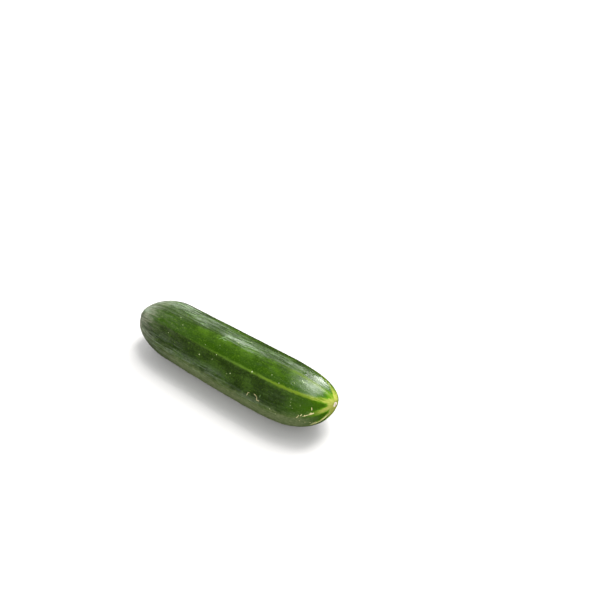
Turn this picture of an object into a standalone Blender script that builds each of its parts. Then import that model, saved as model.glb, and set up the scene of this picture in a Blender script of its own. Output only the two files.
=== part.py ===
"""A snack cucumber, whole, as picked, lying on its underside.

+X runs along the fruit from the cut stem to the blossom end, and +Z is up. The origin is at the
middle of the fruit's box, on the surface that it lies on. All sizes are in metres.

The fruit starts as a sphere whose poles are the stem and the blossom scar. Each ring of the sphere
becomes a cross-section of the fruit, and its columns run from ridge to ridge, so every ridge has an
edge of the mesh along it.
"""
import math
import random

import bmesh
import bpy
from mathutils import Vector

# Length and thickness
LENGTH = 0.130              # from the crown of the stem end to the blossom scar
WIDEST = 0.0345             # diameter that the body has grown to, less its ridges
WIDEST_AT = 0.81            # where that is, as a share of the length from the stem
SHOULDER = 0.0298           # diameter that the body starts from behind the stem

# How the two ends are rounded off: over what length, and how bluntly
STEM_DOME = 0.0240
STEM_BLUNTNESS = 2.0
BLOSSOM_DOME = 0.0464
BLOSSOM_BLUNTNESS = 3.3

# How the middle line of the fruit wanders from a straight line: +Y is backward and +Z is up
BOW = 0.0012                # both ends lie this far behind the middle
BELLY_RISE = 0.0020         # rise towards the blossom end that levels the underside
TIP_SHIFT = Vector((0, 0.0017, 0.0068))     # the blossom scar sits above the middle of its end
STEM_SHIFT = Vector((0, -0.0023, 0.0007))   # and the stem a little in front of its own

# The ridges: angle from the top towards -Y at the blossom end, how far it has turned on by the stem
# end, and height as a share of the radius
RIDGES = (
    (-54, 6, 0.045),
    (-3, 24, 0.052),
    (36, 6, 0.082),
    (84, 16, 0.062),
    (127, 8, 0.048),
    (163, -4, 0.044),
    (205, 6, 0.046),
    (242, -6, 0.042),
    (274, 8, 0.046),
)
RIDGE_REACH = math.radians(18)      # how far a ridge's flanks spread
STEM_CREST = math.radians(9)        # half the width of its rounded crest at the stem end
BLOSSOM_CREST = math.radians(3)     # and at the blossom end
STEM_LOBES = 0.9            # the ridges stand out this much more, as a share, round the stem
STEM_LOBE_LENGTH = 0.010

# The cut stem in its shallow hollow
STUB = 0.0046               # diameter
STUB_SINK = 0.0005          # its cut face lies this far below the crown of the stem end
STUB_OUTLINE = (            # share of the stub's radius, share of its height below the cut face
    (0.00, 0.10),
    (0.72, 0.00),
    (0.94, 0.05),
    (1.00, 0.30),
    (1.04, 0.65),
    (1.20, 0.92),
)
HOLLOW_DEPTH = 0.0024
HOLLOW_REACH = 0.0034       # distance from the stem's middle at which it has mostly run out

# The dry scar that the blossom left
SCAR = 0.0027               # diameter
SCAR_HEIGHT = 0.00022
SCAR_OUTLINE = (            # share of the scar's radius, share of its height above the skin
    (1.35, -0.50),
    (1.02, 0.40),
    (0.80, 1.00),
    (0.00, 0.30),
)

# Low swellings where the young fruit carried its spines
SWELLINGS = 46
SWELLING_REACH = 0.0026
SWELLING_HEIGHT = 0.00018
SWELLING_SEED = 7

# The small flat that the fruit rests on
REST_FLAT = 0.00035         # how far the flesh is pressed in at its lowest

# Mesh
COLUMNS_PER_RIDGE = 8
BODY_RINGS = 69

SKIN_COLOUR = (0.050, 0.140, 0.026, 1.0)
SKIN_ROUGHNESS = 0.38


def clear_scene():
    for thing in list(bpy.data.objects):
        bpy.data.objects.remove(thing, do_unlink=True)


def stem_rounding(station):
    """Share of the full radius that the stem end leaves at a distance from it."""
    return math.sqrt(1 - max(0.0, 1 - station / STEM_DOME) ** STEM_BLUNTNESS)


def blossom_rounding(station):
    """The same for the blossom end."""
    return math.sqrt(1 - max(0.0, 1 - (LENGTH - station) / BLOSSOM_DOME) ** BLOSSOM_BLUNTNESS)


def radius_at(station):
    """Radius of the fruit at a distance from its stem end, before the ridges are raised."""
    growth = math.sin(min(1.0, station / LENGTH / WIDEST_AT) * math.pi / 2)
    diameter = SHOULDER + (WIDEST - SHOULDER) * growth
    return diameter / 2 * stem_rounding(station) * blossom_rounding(station)


def middle_at(station):
    """Middle of the cross-section at a distance from the stem end."""
    share = station / LENGTH
    middle = Vector((station - LENGTH / 2, BOW * (2 * share - 1) ** 2, BELLY_RISE * share))
    middle += TIP_SHIFT * (1 - blossom_rounding(station))
    return middle + STEM_SHIFT * (1 - stem_rounding(station))


def ridge_angle(number, station):
    """Angle of a ridge from the top towards -Y, in radians. Numbers past the last go round again."""
    turns, index = divmod(number, len(RIDGES))
    start, lean, _ = RIDGES[index]
    return math.radians(start + 360 * turns + lean * (1 - station / LENGTH) ** 2)


def ridge_swell(angle, station):
    """Height of the ridges at an angle, as a share of the radius."""
    lobes = 1 + STEM_LOBES * math.exp(-station / STEM_LOBE_LENGTH)
    crest = STEM_CREST + (BLOSSOM_CREST - STEM_CREST) * station / LENGTH
    total = 0.0
    for number, (_, _, height) in enumerate(RIDGES):
        away = math.remainder(angle - ridge_angle(number, station), 2 * math.pi)
        fall = (math.hypot(away, crest) - crest) / RIDGE_REACH
        total += height * lobes * (math.exp(-fall) - RIDGE_REACH / math.pi)
    return total


def station_of_radius(radius, dome, bluntness, diameter):
    """How far behind the end of a dome its cross-section has this radius."""
    left = 1 - (2 * radius / diameter) ** 2
    return dome * (1 - left ** (1 / bluntness))


def hollow_at(radius):
    return HOLLOW_DEPTH * math.exp(-(radius / HOLLOW_REACH) ** 2)


def ring_profile():
    """Distance from the stem end, radius and share of the ridges of each ring, end to end."""
    rings = []
    stub_root = STUB_OUTLINE[-1][0] * STUB / 2
    foot = station_of_radius(stub_root, STEM_DOME, STEM_BLUNTNESS, SHOULDER)
    foot += hollow_at(stub_root)
    for out, down in STUB_OUTLINE:
        station = STUB_SINK + down * (foot - STUB_SINK)
        rings.append((station, out * STUB / 2, 0.0))

    first = station_of_radius(1.3 * stub_root, STEM_DOME, STEM_BLUNTNESS, SHOULDER)
    scar_edge = SCAR_OUTLINE[0][0] * SCAR / 2
    last = station_of_radius(1.5 * scar_edge, BLOSSOM_DOME, BLOSSOM_BLUNTNESS, WIDEST)
    start = math.acos(1 - 2 * first / LENGTH)
    end = math.pi - math.acos(1 - 2 * last / LENGTH)
    for ring in range(BODY_RINGS):
        turn = start + (end - start) * ring / (BODY_RINGS - 1)
        station = LENGTH * (1 - math.cos(turn)) / 2
        radius = radius_at(station)
        rings.append((station + hollow_at(radius) * (station < LENGTH / 2), radius, 1.0))

    for out, up in SCAR_OUTLINE:
        radius = out * SCAR / 2
        below = station_of_radius(radius, BLOSSOM_DOME, BLOSSOM_BLUNTNESS, WIDEST)
        rings.append((LENGTH - below + up * SCAR_HEIGHT, radius, 0.0))
    return rings


def around(column, station):
    """Angle of a column of the mesh: the columns are spread evenly between neighbouring ridges."""
    ridge, step = divmod(column, COLUMNS_PER_RIDGE)
    here = ridge_angle(ridge, station)
    following = ridge_angle(ridge + 1, station)
    return here + (following - here) * step / COLUMNS_PER_RIDGE


def swelling_places():
    """Middles of the low swellings, on the body between its rounded ends."""
    draw = random.Random(SWELLING_SEED)
    places = []
    for _ in range(SWELLINGS):
        station = draw.uniform(0.10, 0.92) * LENGTH
        angle = draw.uniform(0, 2 * math.pi)
        places.append((station, angle, draw.uniform(0.5, 1.0)))
    return places


def swelling_at(station, angle, radius, places):
    total = 0.0
    for other_station, other_angle, size in places:
        along = station - other_station
        if abs(along) > 3 * SWELLING_REACH:
            continue
        across = math.remainder(angle - other_angle, 2 * math.pi) * radius
        total += size * math.exp(-(along ** 2 + across ** 2) / SWELLING_REACH ** 2)
    return SWELLING_HEIGHT * total


def mould(sphere, columns, rings):
    """Move each vertex of a unit sphere to its place on the fruit."""
    profile = ring_profile()
    places = swelling_places()
    for vertex in sphere.verts:
        ring = round(math.acos(max(-1.0, min(1.0, vertex.co.z))) / math.pi * rings)
        column = round(math.atan2(vertex.co.y, vertex.co.x) / (2 * math.pi) * columns) % columns
        station, radius, ridged = profile[ring]
        nearest = max(0.0, min(LENGTH, station))
        angle = around(column, nearest)
        radius *= 1 + ridged * ridge_swell(angle, nearest)
        radius += ridged * swelling_at(nearest, angle, radius, places)
        middle = middle_at(nearest)
        middle.x = station - LENGTH / 2
        vertex.co = middle + radius * Vector((0, -math.sin(angle), math.cos(angle)))


def press_flat(sphere):
    """Flatten the lowest part of the fruit and put it on the plane z = 0, with the box centred."""
    lowest = min(vertex.co.z for vertex in sphere.verts) + REST_FLAT
    sides = [[vertex.co[axis] for vertex in sphere.verts] for axis in (0, 1)]
    centre = [(min(side) + max(side)) / 2 for side in sides]
    for vertex in sphere.verts:
        vertex.co.x -= centre[0]
        vertex.co.y -= centre[1]
        vertex.co.z = max(0.0, vertex.co.z - lowest)


def skin_material():
    material = bpy.data.materials.new("cucumber_skin")
    material.use_nodes = True
    shader = material.node_tree.nodes["Principled BSDF"]
    shader.inputs["Base Color"].default_value = SKIN_COLOUR
    shader.inputs["Roughness"].default_value = SKIN_ROUGHNESS
    shader.inputs["Metallic"].default_value = 0.0
    return material


def make_cucumber(collection):
    columns = COLUMNS_PER_RIDGE * len(RIDGES)
    rings = len(ring_profile()) - 1
    sphere = bmesh.new()
    bmesh.ops.create_uvsphere(sphere, u_segments=columns, v_segments=rings, radius=1.0)
    mould(sphere, columns, rings)
    press_flat(sphere)
    bmesh.ops.recalc_face_normals(sphere, faces=sphere.faces)
    mesh = bpy.data.meshes.new("cucumber")
    sphere.to_mesh(mesh)
    sphere.free()
    mesh.shade_smooth()
    mesh.materials.append(skin_material())
    fruit = bpy.data.objects.new("cucumber", mesh)
    collection.objects.link(fruit)
    return fruit


def main():
    clear_scene()
    collection = bpy.data.collections.new("Cucumber")
    bpy.context.scene.collection.children.link(collection)
    make_cucumber(collection)


main()
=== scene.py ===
# %% [markdown]
# # A snack cucumber, dressed
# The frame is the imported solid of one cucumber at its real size. +X runs from the cut stem to the scar
# that the blossom left, and +Z is up. Loading the frame first means that everything below is placed by a
# shape that is already right, so a surface or a mark never has to be fitted by eye.

# %% Load the frame
import math
import random

import bmesh
import bpy
import numpy as np
from mathutils import Matrix, Vector, noise
from mathutils.bvhtree import BVHTree


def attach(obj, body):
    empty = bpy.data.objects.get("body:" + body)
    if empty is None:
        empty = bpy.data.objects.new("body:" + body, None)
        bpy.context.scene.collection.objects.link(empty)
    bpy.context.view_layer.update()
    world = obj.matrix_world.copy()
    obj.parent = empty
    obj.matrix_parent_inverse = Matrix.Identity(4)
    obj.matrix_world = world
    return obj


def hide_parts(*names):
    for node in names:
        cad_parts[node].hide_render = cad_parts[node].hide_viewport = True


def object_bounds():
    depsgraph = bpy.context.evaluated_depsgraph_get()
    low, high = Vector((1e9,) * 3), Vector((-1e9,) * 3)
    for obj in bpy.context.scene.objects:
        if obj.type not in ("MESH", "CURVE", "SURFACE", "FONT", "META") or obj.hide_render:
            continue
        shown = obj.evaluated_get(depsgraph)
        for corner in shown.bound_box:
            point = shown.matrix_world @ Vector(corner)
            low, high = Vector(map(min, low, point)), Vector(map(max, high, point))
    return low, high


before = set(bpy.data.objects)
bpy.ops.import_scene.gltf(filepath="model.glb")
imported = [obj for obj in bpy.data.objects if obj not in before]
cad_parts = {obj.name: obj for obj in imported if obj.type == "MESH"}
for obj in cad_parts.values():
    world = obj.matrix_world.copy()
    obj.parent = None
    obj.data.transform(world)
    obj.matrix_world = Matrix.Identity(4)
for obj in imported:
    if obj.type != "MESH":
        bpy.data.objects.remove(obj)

MM = 0.001
cad_low, cad_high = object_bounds()
cad_size = cad_high - cad_low
print("The solid measures", [round(side / MM, 1) for side in cad_size], "mm")

# %% [markdown]
# ## The camera
# The photograph looks down on the fruit from the side of its blossom end, through a long lens. A camera
# could be dragged about until the picture fits. Here it is placed by two angles and a distance instead,
# because each number then says something about the shot. The fruit isn't in the middle of the
# photograph, so the camera slides sideways and up while its direction stays: the lens needs no shift.

# %% Camera
AZIMUTH = math.radians(37.93)       # turned from looking along +Y towards looking along -X
ELEVATION = math.radians(42.8)      # above the horizon
DISTANCE = 0.9666                   # from the fruit's origin, along the view
MIDDLE_RIGHT = 0.03452              # the photograph's middle lies this far right of the origin
MIDDLE_UP = 0.04646                 # and this far above it
LENS_MM = 106.5
SENSOR_MM = 36.0

right = Vector((math.cos(AZIMUTH), math.sin(AZIMUTH), 0))
back = Vector((
    math.sin(AZIMUTH) * math.cos(ELEVATION),
    -math.cos(AZIMUTH) * math.cos(ELEVATION),
    math.sin(ELEVATION),
))
up = back.cross(right)

lens = bpy.data.cameras.new("camera")
lens.lens = LENS_MM
lens.sensor_width = SENSOR_MM
camera = bpy.data.objects.new("camera", lens)
bpy.context.scene.collection.objects.link(camera)
place = MIDDLE_RIGHT * right + MIDDLE_UP * up + DISTANCE * back
camera.matrix_world = Matrix.Translation(place) @ Matrix((right, up, back)).transposed().to_4x4()
bpy.context.scene.camera = camera
print("The camera stands", round(place.length, 3), "m from the fruit")

# %% [markdown]
# ## The form of the fruit
# A cucumber is nearly a body of revolution: a radius for every distance from the stem, on a middle line
# that bends a little. Nine soft ridges run along it. The solid was made from the same few sizes, with
# only as many faces as a solid can carry, so repeating its formulas on a much finer grid gives the same
# body without its facets. NumPy works out all the points at once.

# %% Sizes of the body
LENGTH = 0.130              # from the crown of the stem end to the blossom scar
WIDEST = 0.0345             # diameter that the body has grown to, less its ridges
WIDEST_AT = 0.81            # where that is, as a share of the length from the stem
SHOULDER = 0.0298           # diameter that the body starts from behind the stem
STEM_DOME = 0.0240          # over what length each end is rounded off, and how bluntly
STEM_BLUNTNESS = 2.0
BLOSSOM_DOME = 0.0464
BLOSSOM_BLUNTNESS = 3.3
BOW = 0.0012                # both ends lie this far behind the middle
BELLY_RISE = 0.0020         # rise towards the blossom end that levels the underside
TIP_SHIFT = (0, 0.0017, 0.0068)     # the blossom scar sits above the middle of its end
STEM_SHIFT = (0, -0.0023, 0.0007)   # and the stem a little in front of its own
REST_FLAT = 0.00035         # how far the flesh is pressed in where it rests


def stem_rounding(station):
    """Share of the full radius that the stem end leaves at a distance from it."""
    return np.sqrt(1 - np.maximum(0, 1 - station / STEM_DOME) ** STEM_BLUNTNESS)


def blossom_rounding(station):
    """The same for the blossom end."""
    return np.sqrt(1 - np.maximum(0, 1 - (LENGTH - station) / BLOSSOM_DOME) ** BLOSSOM_BLUNTNESS)


def radius_at(station):
    growth = np.sin(np.minimum(1, station / LENGTH / WIDEST_AT) * np.pi / 2)
    diameter = SHOULDER + (WIDEST - SHOULDER) * growth
    return diameter / 2 * stem_rounding(station) * blossom_rounding(station)


def middle_at(station):
    """Middle of the cross-section at each distance from the stem end."""
    share = station / LENGTH
    middle = np.stack([station - LENGTH / 2, BOW * (2 * share - 1) ** 2, BELLY_RISE * share], axis=-1)
    middle += np.multiply.outer(1 - blossom_rounding(station), TIP_SHIFT)
    return middle + np.multiply.outer(1 - stem_rounding(station), STEM_SHIFT)


print("Halfway along, the body is", round(2 * float(radius_at(LENGTH / 2)) / MM, 1), "mm thick")

# %% [markdown]
# The ridges are what make the cross-section a soft nonagon and not a circle. They are given as angles
# round the fruit, and each leans a little along its way, as the fruit twisted while it grew. A sharp
# crest with flanks that fall away exponentially reads as a fold in firm skin, where a sine wave would
# look like a squeezed tube.

# %% Ridges
# Angle from the top towards -Y at the blossom end, how far it has turned on by the stem end, and
# height as a share of the radius
RIDGES = (
    (-54, 6, 0.045),
    (-3, 24, 0.052),
    (36, 6, 0.082),
    (84, 16, 0.062),
    (127, 8, 0.048),
    (163, -4, 0.044),
    (205, 6, 0.046),
    (242, -6, 0.042),
    (274, 8, 0.046),
)
RIDGE_REACH = math.radians(18)      # how far a ridge's flanks spread
STEM_CREST = math.radians(9)        # half the width of its rounded crest at the stem end
BLOSSOM_CREST = math.radians(3)     # and at the blossom end
STEM_LOBES = 0.9                    # the ridges stand out more round the stem
STEM_LOBE_LENGTH = 0.010


def turned(angle):
    """The same angle between -pi and pi."""
    return np.remainder(angle + np.pi, 2 * np.pi) - np.pi


def ridge_angles(station):
    """One column of angles for each ridge."""
    start, lean, _ = np.transpose(RIDGES)
    return np.radians(start + np.multiply.outer((1 - station / LENGTH) ** 2, lean))


def ridge_swell(angle, station):
    """Height of the ridges at each angle, as a share of the radius."""
    lobes = 1 + STEM_LOBES * np.exp(-station / STEM_LOBE_LENGTH)
    crest = STEM_CREST + (BLOSSOM_CREST - STEM_CREST) * station / LENGTH
    middles = ridge_angles(station)
    total = np.zeros_like(angle)
    for number, (_, _, height) in enumerate(RIDGES):
        away = turned(angle - middles[..., number])
        fall = (np.hypot(away, crest) - crest) / RIDGE_REACH
        total += height * lobes * (np.exp(-fall) - RIDGE_REACH / np.pi)
    return total


print(len(RIDGES), "ridges, the highest by", max(ridge[2] for ridge in RIDGES), "of the radius")

# %% [markdown]
# ## Rings from end to end
# The body is a grid of rings and columns rolled into a closed skin. The rings start on the cut face of
# the stem's stub, go down its side into the shallow hollow that it stands in, run along the body and
# end on the dry scar of the blossom. Spacing the body's rings by the cosine of an angle packs them
# closer where the ends turn inward, so all the faces stay about a third of a millimetre wide.

# %% Outlines of the two ends
STUB = 0.0046               # diameter of the cut stem
STUB_SINK = 0.0005          # its cut face lies this far below the crown of the stem end
STUB_OUTLINE = (            # share of the stub's radius, share of its height below the cut face
    (0.00, 0.10),
    (0.72, 0.00),
    (0.94, 0.05),
    (1.00, 0.30),
    (1.04, 0.65),
    (1.20, 0.92),
)
HOLLOW_DEPTH = 0.0024
HOLLOW_REACH = 0.0034       # distance from the stem's middle at which it has mostly run out
SCAR = 0.0027               # diameter of the blossom's scar
SCAR_HEIGHT = 0.00022
SCAR_OUTLINE = (            # share of the scar's radius, share of its height above the skin
    (1.35, -0.50),
    (1.02, 0.40),
    (0.80, 1.00),
    (0.00, 0.30),
)
STUB_STEPS = 6              # fine rings for each step of the stub's outline
SCAR_STEPS = 5
BODY_RINGS = 290
JOIN_RINGS = 6              # rings that turn the round stub and scar into the ridged body
BODY_FROM = 1.3             # the body's first ring is this many times as wide as the stub's foot
BODY_TO = 1.5               # and its last one this many times as wide as the scar's
print("The stub is", round(STUB / MM, 1), "mm across, and the scar", round(SCAR / MM, 1), "mm")


# %% Helpers for the two ends
def station_of_radius(radius, dome, bluntness, diameter):
    """How far behind the end of a dome its cross-section has this radius."""
    left = 1 - (2 * radius / diameter) ** 2
    return dome * (1 - left ** (1 / bluntness))


def hollow_at(radius):
    return HOLLOW_DEPTH * np.exp(-(radius / HOLLOW_REACH) ** 2)


def eased(outline, steps):
    """An outline with finer steps between its points, rounded a little where it turns."""
    fine = np.linspace(0, len(outline) - 1, steps * (len(outline) - 1) + 1)
    filled = [np.interp(fine, range(len(outline)), side) for side in np.transpose(outline)]
    for side in filled:
        side[1:-1] = np.convolve(side, (0.25, 0.5, 0.25), "valid")
    return filled


def ease(share):
    """Smooth step from 0 to 1."""
    share = np.clip(share, 0, 1)
    return share * share * (3 - 2 * share)


print("The hollow is", round(hollow_at(STUB / 2) / MM, 1), "mm deep at the stub's side")

# %% Distance from the stem, radius and share of the ridges of each ring
stub_root = STUB_OUTLINE[-1][0] * STUB / 2
stub_foot = station_of_radius(stub_root, STEM_DOME, STEM_BLUNTNESS, SHOULDER) + hollow_at(stub_root)
out, down = eased(STUB_OUTLINE, STUB_STEPS)
stub_rings = (STUB_SINK + down * (stub_foot - STUB_SINK), out * STUB / 2)

out, lift = eased(SCAR_OUTLINE, SCAR_STEPS)
scar_root = SCAR_OUTLINE[0][0] * SCAR / 2
below = station_of_radius(out * SCAR / 2, BLOSSOM_DOME, BLOSSOM_BLUNTNESS, WIDEST)
scar_rings = (LENGTH - below + lift * SCAR_HEIGHT, out * SCAR / 2)

first = station_of_radius(BODY_FROM * stub_root, STEM_DOME, STEM_BLUNTNESS, SHOULDER)
last = station_of_radius(BODY_TO * scar_root, BLOSSOM_DOME, BLOSSOM_BLUNTNESS, WIDEST)
start = math.acos(1 - 2 * first / LENGTH)
end = math.pi - math.acos(1 - 2 * last / LENGTH)
station = LENGTH * (1 - np.cos(np.linspace(start, end, BODY_RINGS))) / 2
radius = radius_at(station)
body_rings = (station + hollow_at(radius) * (station < LENGTH / 2), radius)


def joined(one, other, count):
    """Rings between the last ring of one part and the first ring of the next."""
    share = np.linspace(0, 1, count + 2)[1:-1]
    return [a[-1] + (b[0] - a[-1]) * share for a, b in zip(one, other)]


parts = [
    stub_rings,
    joined(stub_rings, body_rings, JOIN_RINGS),
    body_rings,
    joined(body_rings, scar_rings, JOIN_RINGS),
    scar_rings,
]
ring_station, ring_radius = (np.concatenate([part[side] for part in parts]) for side in (0, 1))
ends = np.cumsum([len(part[0]) for part in parts])
ring_ridged = np.ones(len(ring_station))
ring_ridged[:ends[0]] = 0
ring_ridged[ends[0]:ends[1]] = ease(np.linspace(0, 1, JOIN_RINGS))
ring_ridged[ends[2]:ends[3]] = ease(np.linspace(1, 0, JOIN_RINGS))
ring_ridged[ends[3]:] = 0
print(len(ring_station), "rings, of which", ends[0], "are on the stub")

# %% [markdown]
# ## Relief of the skin
# A snack cucumber is smooth beside a pickling one, yet its skin is never even: it carries low swellings
# where the young fruit had its spines, slight waves, and furrows that run with the length and deepen
# towards the stem. They could all be bump in the material. Real relief is used for whatever is wider
# than a millimetre, because it also bends the highlights and the outline.

# %% Swellings and pimples
BODY_SPAN = (0.10, 0.92)    # shares of the length between which they are scattered
SMALLEST = 0.5              # of the heights below that a bump may have
SWELLINGS = 46
SWELLING_REACH = 0.0026
SWELLING_HEIGHT = 0.00018
SWELLING_SEED = 7
PIMPLES = 170
PIMPLE_REACH = 0.00075
PIMPLE_HEIGHT = 0.00009
PIMPLE_SEED = 21


def scattered(count, seed):
    """Seeded places on the body between its rounded ends: station, angle and size."""
    draw = random.Random(seed)
    places = []
    for _ in range(count):
        along = draw.uniform(*BODY_SPAN) * LENGTH
        places.append((along, draw.uniform(0, 2 * math.pi), draw.uniform(SMALLEST, 1.0)))
    return places


def bumps_at(station, angle, radius, places, reach):
    """Sum of round bumps of the given reach, each as high as its size says."""
    total = np.zeros_like(angle)
    for bump_station, bump_angle, size in places:
        rows = np.abs(station[:, 0] - bump_station) < 3 * reach
        along = station[rows] - bump_station
        across = turned(angle[rows] - bump_angle) * radius[rows]
        total[rows] += size * np.exp(-(along ** 2 + across ** 2) / reach ** 2)
    return total


print(SWELLINGS, "swellings and", PIMPLES, "pimples to place")

# %% Furrows and waves
WAVE_LENGTH = 0.0075        # of the slight waves that break the roundness
WAVE_HEIGHT = 0.00006
FURROW_WIDTH = 0.0014       # across the fruit; along it they run on for much longer
FURROW_DRAWN_OUT = 9.0
FURROW_HEIGHT = 0.000030
STEM_FURROWS = 0.000085     # added height at the stem, where the skin puckers
STEM_FURROW_LENGTH = 0.011


def noise_at(points, size, drawn_out=1.0):
    """Soft noise whose lumps have the given size, drawn out along the fruit."""
    scaled = points / size
    scaled[..., 0] /= drawn_out
    flat = [noise.noise(Vector(point)) for point in scaled.reshape(-1, 3).tolist()]
    return np.reshape(flat, points.shape[:-1])


print("Furrows of", round(FURROW_WIDTH / MM, 1), "mm and waves of", round(WAVE_LENGTH / MM, 1), "mm")

# %% [markdown]
# ## The fine skin
# Now every ring and column gets its point. The columns are spread evenly between neighbouring ridges,
# so an edge of the grid runs along every crest and keeps it crisp. The lowest strip is pressed flat,
# as the weight of the fruit does, and the whole is seated by the solid's own box.

# %% Points
COLUMNS_PER_RIDGE = 30
columns = COLUMNS_PER_RIDGE * len(RIDGES)
along = np.clip(ring_station, 0, LENGTH)
crests = ridge_angles(along)
crests = np.concatenate([crests, crests[:, :1] + 2 * np.pi], axis=1)
steps = np.arange(COLUMNS_PER_RIDGE) / COLUMNS_PER_RIDGE
angle = (crests[:, :-1, None] + np.diff(crests, axis=1)[:, :, None] * steps).reshape(len(along), columns)
station = np.repeat(along[:, None], columns, axis=1)
ridged = ring_ridged[:, None]
radius = ring_radius[:, None] * (1 + ridged * ridge_swell(angle, station))
outward = np.stack([np.zeros_like(angle), -np.sin(angle), np.cos(angle)], axis=-1)
middle = middle_at(station)
middle[..., 0] = ring_station[:, None] - LENGTH / 2
smooth_points = middle + radius[..., None] * outward

relief = SWELLING_HEIGHT * bumps_at(station, angle, radius, scattered(SWELLINGS, SWELLING_SEED),
                                    SWELLING_REACH)
relief += PIMPLE_HEIGHT * bumps_at(station, angle, radius, scattered(PIMPLES, PIMPLE_SEED),
                                   PIMPLE_REACH)
relief += WAVE_HEIGHT * noise_at(smooth_points, WAVE_LENGTH)
furrows = FURROW_HEIGHT + STEM_FURROWS * np.exp(-station / STEM_FURROW_LENGTH)
relief += furrows * noise_at(smooth_points, FURROW_WIDTH, FURROW_DRAWN_OUT)
relief *= ridged
print("The relief runs from", round(relief.min() / MM, 2), "to", round(relief.max() / MM, 2), "mm")

# %% [markdown]
# The stub and the scar have a relief of their own. A cucumber's stem has five ribs, and the knife
# leaves a face that is slightly oblique, with a ring of small vessels that stand proud as the softer
# pith between them dries. The scar shrinks into a puckered button.

# %% Sizes of the ribs, the cut face and the puckers
STUB_RIBS = 5
STUB_RIB_HEIGHT = 0.045     # share of the radius
STUB_FIBRE = 0.00035        # across; down the stub they run on six times as far
STUB_FIBRE_DRAWN_OUT = 6.0
STUB_FIBRE_HEIGHT = 0.00004
STUB_FIBRE_FULL = 0.8       # share of the stub's radius at which they have this height
CUT_EDGE = 1.02             # share of the stub's radius where the cut face ends,
CUT_SOFTNESS = 0.2          # and over how much of it it fades out
CUT_SLANT = 0.00022         # fall of the cut face across its radius
CUT_LOWEST = 0.8            # radians from the top at which it lies lowest
CUT_GRAIN = 0.0004
CUT_GRAIN_HEIGHT = 0.00005
CUT_VESSELS = 10
CUT_VESSEL_HEIGHT = 0.00010
VESSEL_RING = 0.62          # share of the stub's radius at which the vessels stand
VESSEL_RING_WIDTH = 0.14
SCAR_PUCKERS = 11
SCAR_PUCKER_HEIGHT = 0.00010
SCAR_PUCKER_FULL = 0.6      # share of the scar's radius at which they have this height
SCAR_PUCKER_END = 1.25      # and at which they end
SCAR_EDGE = 1.3             # share of the scar's radius up to which it has its own outline
SCAR_LOBES = 0.07           # unevenness of that outline, as a share of the radius
print("The cut face has", CUT_VESSELS, "vessels, and the scar", SCAR_PUCKERS, "puckers")

# %% Relief of the two ends
on_stub = np.zeros(len(along))
on_stub[:ends[0]] = 1
on_stub[ends[0]:ends[1]] = np.linspace(1, 0, JOIN_RINGS)
on_scar = np.zeros(len(along))
on_scar[ends[3]:] = 1
out_share = ring_radius / (STUB / 2)
ribs = STUB_RIB_HEIGHT * ring_radius[:, None] * np.cos(STUB_RIBS * angle) * on_stub[:, None]
stub_fibres = STUB_FIBRE_HEIGHT * noise_at(smooth_points, STUB_FIBRE, STUB_FIBRE_DRAWN_OUT)
relief += ribs + stub_fibres * on_stub[:, None] * ease(out_share[:, None] / STUB_FIBRE_FULL)

cut = (ease((CUT_EDGE - out_share) / CUT_SOFTNESS) * on_stub)[:, None]
vessels = np.exp(-((out_share[:, None] - VESSEL_RING) / VESSEL_RING_WIDTH) ** 2)
vessels = vessels * np.cos(CUT_VESSELS * angle).clip(0)
slant = CUT_SLANT * out_share[:, None] * np.cos(angle - CUT_LOWEST)
lift = cut * (slant - CUT_VESSEL_HEIGHT * vessels)
lift += cut * CUT_GRAIN_HEIGHT * noise_at(smooth_points, CUT_GRAIN)

scar_share = (ring_radius / (SCAR / 2))[:, None]
puckers = np.cos(SCAR_PUCKERS * angle + 1.5 * np.sin(2 * angle)) * ease(scar_share / SCAR_PUCKER_FULL)
lift += SCAR_PUCKER_HEIGHT * puckers * ease((SCAR_PUCKER_END - scar_share) / 0.3) * on_scar[:, None]
wander = np.sin(3 * angle + 0.7) + 0.6 * np.sin(5 * angle)
relief += SCAR_LOBES * ring_radius[:, None] * wander * on_scar[:, None] * (scar_share < SCAR_EDGE)

points = smooth_points + relief[..., None] * outward
points[..., 0] += lift
print("The ends are moved by up to", round(np.abs(lift).max() / MM, 2), "mm along the fruit")

# %% Seat the skin in the frame
low = points.reshape(-1, 3).min(axis=0)
high = points.reshape(-1, 3).max(axis=0)
points[..., 0] += (cad_low.x + cad_high.x - low[0] - high[0]) / 2
points[..., 1] += (cad_low.y + cad_high.y - low[1] - high[1]) / 2
points[..., 2] = np.maximum(cad_low.z, points[..., 2] - low[2] - REST_FLAT)
print("Fine grid:", points.shape[0], "rings of", points.shape[1], "points")

# %% [markdown]
# ## From grid to mesh
# Each four neighbouring points make a face, and the two end rings, which have no width, become single
# points with a fan of triangles. The grid also gives the unwrap for free: its rows and columns laid
# out flat, by their real lengths, stretch the skin hardly at all.

# %% Mesh
UV_MAP = "OFBake"


def rolled_mesh(name, points):
    """Closed mesh of a grid whose first and last rings are single points."""
    rings, columns = points.shape[:2]
    vertices = np.concatenate([points[:1, 0], points[1:-1].reshape(-1, 3), points[-1:, 0]])
    number = 1 + (np.arange(rings)[:, None] - 1) * columns + np.arange(columns)
    number[0], number[-1] = 0, len(vertices) - 1
    following = np.roll(number, -1, axis=1)
    faces = [(0, b, a) for a, b in zip(number[1].tolist(), following[1].tolist())]
    quads = np.stack([number[1:-2], following[1:-2], following[2:-1], number[2:-1]], axis=-1)
    faces += [tuple(quad) for quad in quads.reshape(-1, 4).tolist()]
    tip = len(vertices) - 1
    faces += [(a, b, tip) for a, b in zip(number[-2].tolist(), following[-2].tolist())]
    mesh = bpy.data.meshes.new(name)
    mesh.from_pydata(vertices.tolist(), [], faces)
    mesh.shade_smooth()
    return mesh


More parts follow.
